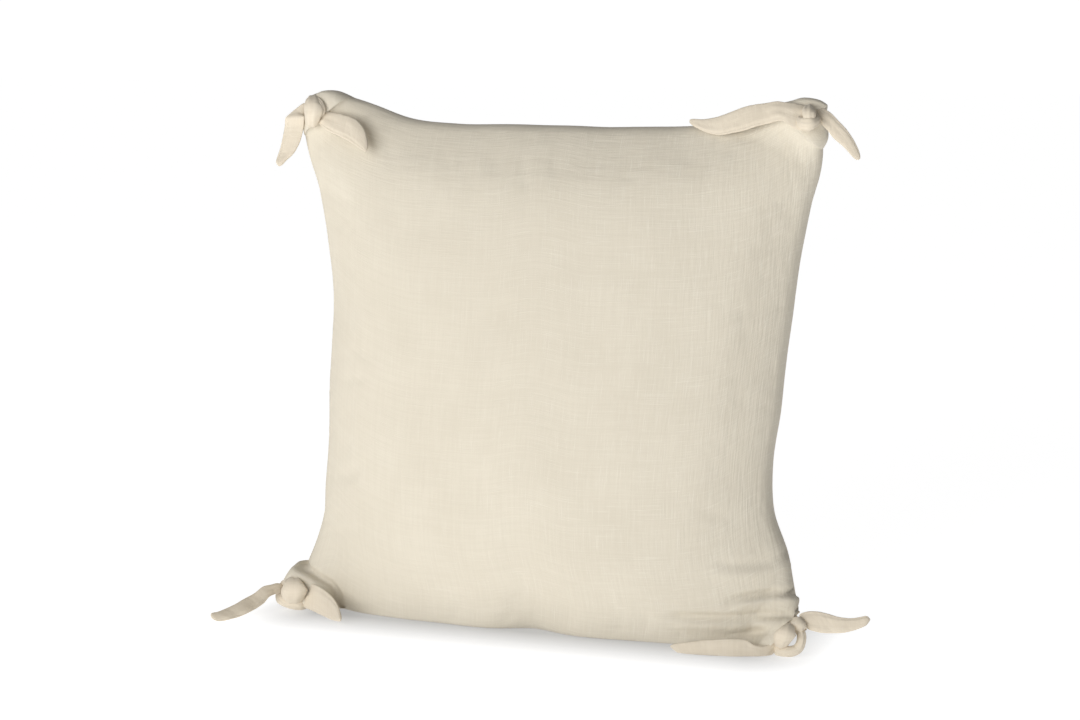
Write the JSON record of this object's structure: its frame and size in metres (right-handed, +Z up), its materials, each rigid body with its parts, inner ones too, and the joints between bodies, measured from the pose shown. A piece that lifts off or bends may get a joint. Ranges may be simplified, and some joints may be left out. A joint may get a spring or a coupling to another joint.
{
  "type": "floor cushion",
  "caption": "Square cream slub-cotton floor cushion with knotted fabric ties at its corners, standing on its lower edge and leaning back a little.",
  "frame": {"origin": "on the floor, in the middle of the strip of the lower edge that the cushion rests on", "axes": "+X to the right of the front face, -Y out of the front face, +Z up from the floor"},
  "size_m": [0.7386, 0.2399, 0.5976],
  "materials": {
    "cover_cloth": "cream slub cotton, plain weave with thick slub threads both ways",
    "tie_cloth": "the cover cloth, turned and pressed flat",
    "inner_cloth": "white non-woven",
    "fibre": "white polyester fibre",
    "zip_cloth": "fine woven tape",
    "zip_coil": "moulded nylon coil",
    "zip_metal": "plated, satin"
  },
  "bodies": {
    "cushion": {"cover_front_panel": "cover_cloth", "cover_back_panel": "cover_cloth", "inner_case_front": "inner_cloth", "inner_case_back": "inner_cloth", "fibre_filling": "fibre", "zip_tape_front": "zip_cloth", "zip_tape_back": "zip_cloth", "zip_coil_front": "zip_coil", "zip_coil_back": "zip_coil", "zip_closed_stop": "zip_metal", "zip_open_stop": "zip_metal", "tie_top_left_back": "tie_cloth", "tie_top_left_front": "tie_cloth", "tie_top_right_back": "tie_cloth", "tie_top_right_front": "tie_cloth", "tie_bottom_left_back": "tie_cloth", "tie_bottom_left_front": "tie_cloth", "tie_bottom_right_back": "tie_cloth", "tie_bottom_right_front": "tie_cloth"},
    "top_left_back_tie_end": {"tie_top_left_back_end": "tie_cloth"},
    "top_left_front_tie_end": {"tie_top_left_front_end": "tie_cloth"},
    "top_right_back_tie_end": {"tie_top_right_back_end": "tie_cloth"},
    "top_right_front_tie_end": {"tie_top_right_front_end": "tie_cloth"},
    "bottom_left_back_tie_end": {"tie_bottom_left_back_end": "tie_cloth"},
    "bottom_left_front_tie_end": {"tie_bottom_left_front_end": "tie_cloth"},
    "bottom_right_back_tie_end": {"tie_bottom_right_back_end": "tie_cloth"},
    "bottom_right_front_tie_end": {"tie_bottom_right_front_end": "tie_cloth"},
    "zip_slider": {"zip_slider": "zip_metal"},
    "zip_pull_tab": {"zip_pull_tab": "zip_metal"}
  },
  "joints": [
    {"name": "top_left_back_tie_lift", "type": "hinge", "parent": "cushion", "child": "top_left_back_tie_end", "pos_m": [-0.3, 0.01, 0.564], "axis": [-0.7377, -0.2317, 0.6341], "range_deg": [0, 90]},
    {"name": "top_left_front_tie_lift", "type": "hinge", "parent": "cushion", "child": "top_left_front_tie_end", "pos_m": [-0.257, 0.002, 0.568], "axis": [-0.2735, -0.4268, -0.862], "range_deg": [0, 90]},
    {"name": "top_right_back_tie_lift", "type": "hinge", "parent": "cushion", "child": "top_right_back_tie_end", "pos_m": [0.273, 0.009, 0.581], "axis": [0.2389, 0.6866, 0.6866], "range_deg": [0, 90]},
    {"name": "top_right_front_tie_lift", "type": "hinge", "parent": "cushion", "child": "top_right_front_tie_end", "pos_m": [0.312, 0.008, 0.58], "axis": [-0.549, 0.0815, -0.8318], "range_deg": [0, 90]},
    {"name": "bottom_left_back_tie_lift", "type": "hinge", "parent": "cushion", "child": "bottom_left_back_tie_end", "pos_m": [-0.303, -0.051, 0.02], "axis": [-0.8286, 0.4863, 0.2774], "range_deg": [0, 65]},
    {"name": "bottom_left_front_tie_lift", "type": "hinge", "parent": "cushion", "child": "bottom_left_front_tie_end", "pos_m": [-0.269, -0.049, 0.024], "axis": [-0.5048, -0.4866, -0.713], "range_deg": [0, 65]},
    {"name": "bottom_right_back_tie_lift", "type": "hinge", "parent": "cushion", "child": "bottom_right_back_tie_end", "pos_m": [0.272, -0.047, 0.017], "axis": [-0.1312, 0.2728, 0.9531], "range_deg": [0, 90]},
    {"name": "bottom_right_front_tie_lift", "type": "hinge", "parent": "cushion", "child": "bottom_right_front_tie_end", "pos_m": [0.306, -0.036, 0.034], "axis": [0.1894, -0.6943, -0.6943], "range_deg": [0, 90]},
    {"name": "zip_slide", "type": "slide", "parent": "cushion", "child": "zip_slider", "axis": [-1, 0, 0], "range_m": [0, 0.354]},
    {"name": "zip_tab_swing", "type": "hinge", "parent": "zip_slider", "child": "zip_pull_tab", "pos_m": [0.1815, -0.016, 0.0017], "axis": [0, 1, 0], "range_deg": [0, 165]}
  ]
}
